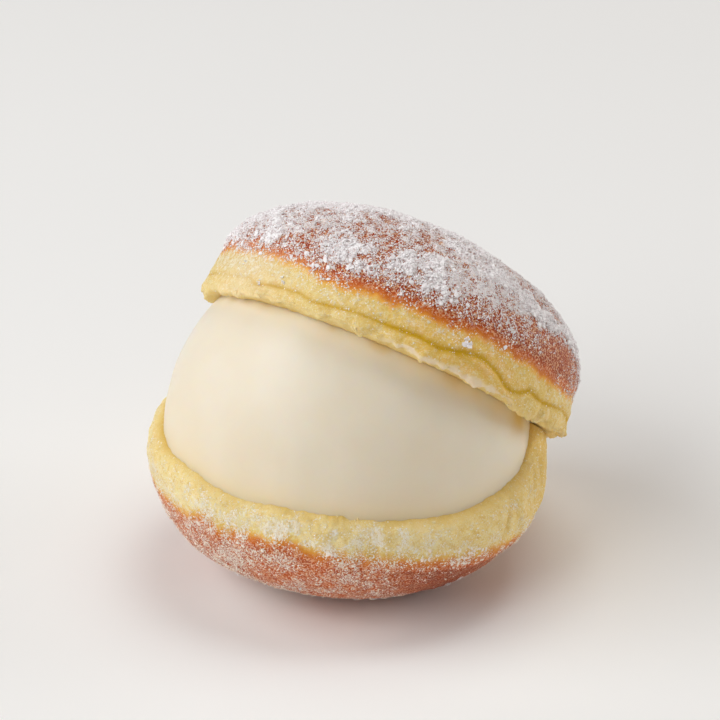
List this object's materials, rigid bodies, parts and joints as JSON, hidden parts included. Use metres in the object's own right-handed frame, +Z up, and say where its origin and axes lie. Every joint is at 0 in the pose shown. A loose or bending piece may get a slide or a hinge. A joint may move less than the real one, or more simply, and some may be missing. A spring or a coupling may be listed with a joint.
{
  "type": "cream-filled doughnut",
  "caption": "Round sugared yeast doughnut slit open like a clam, its upper half leaning back over a large smooth ball of whipped cream.",
  "frame": {"origin": "on the flat foot of the lower half, under the middle of the doughnut", "axes": "+Z up; the open mouth faces -Y and a little to -X, and the upper half leans towards +X and +Y"},
  "size_m": [0.0926, 0.092, 0.0802],
  "materials": {
    "lower_crust": "matte fried dough, browned below and pale yellow at the rim, dusted with sugar",
    "upper_crust": "matte fried dough, browned on the dome and pale yellow at the side, thickly sugared",
    "cream": "smooth satin whipped cream"
  },
  "bodies": {
    "root": {"bun_bottom": "lower_crust", "cream_filling": "cream", "bun_top": "upper_crust"}
  },
  "joints": []
}
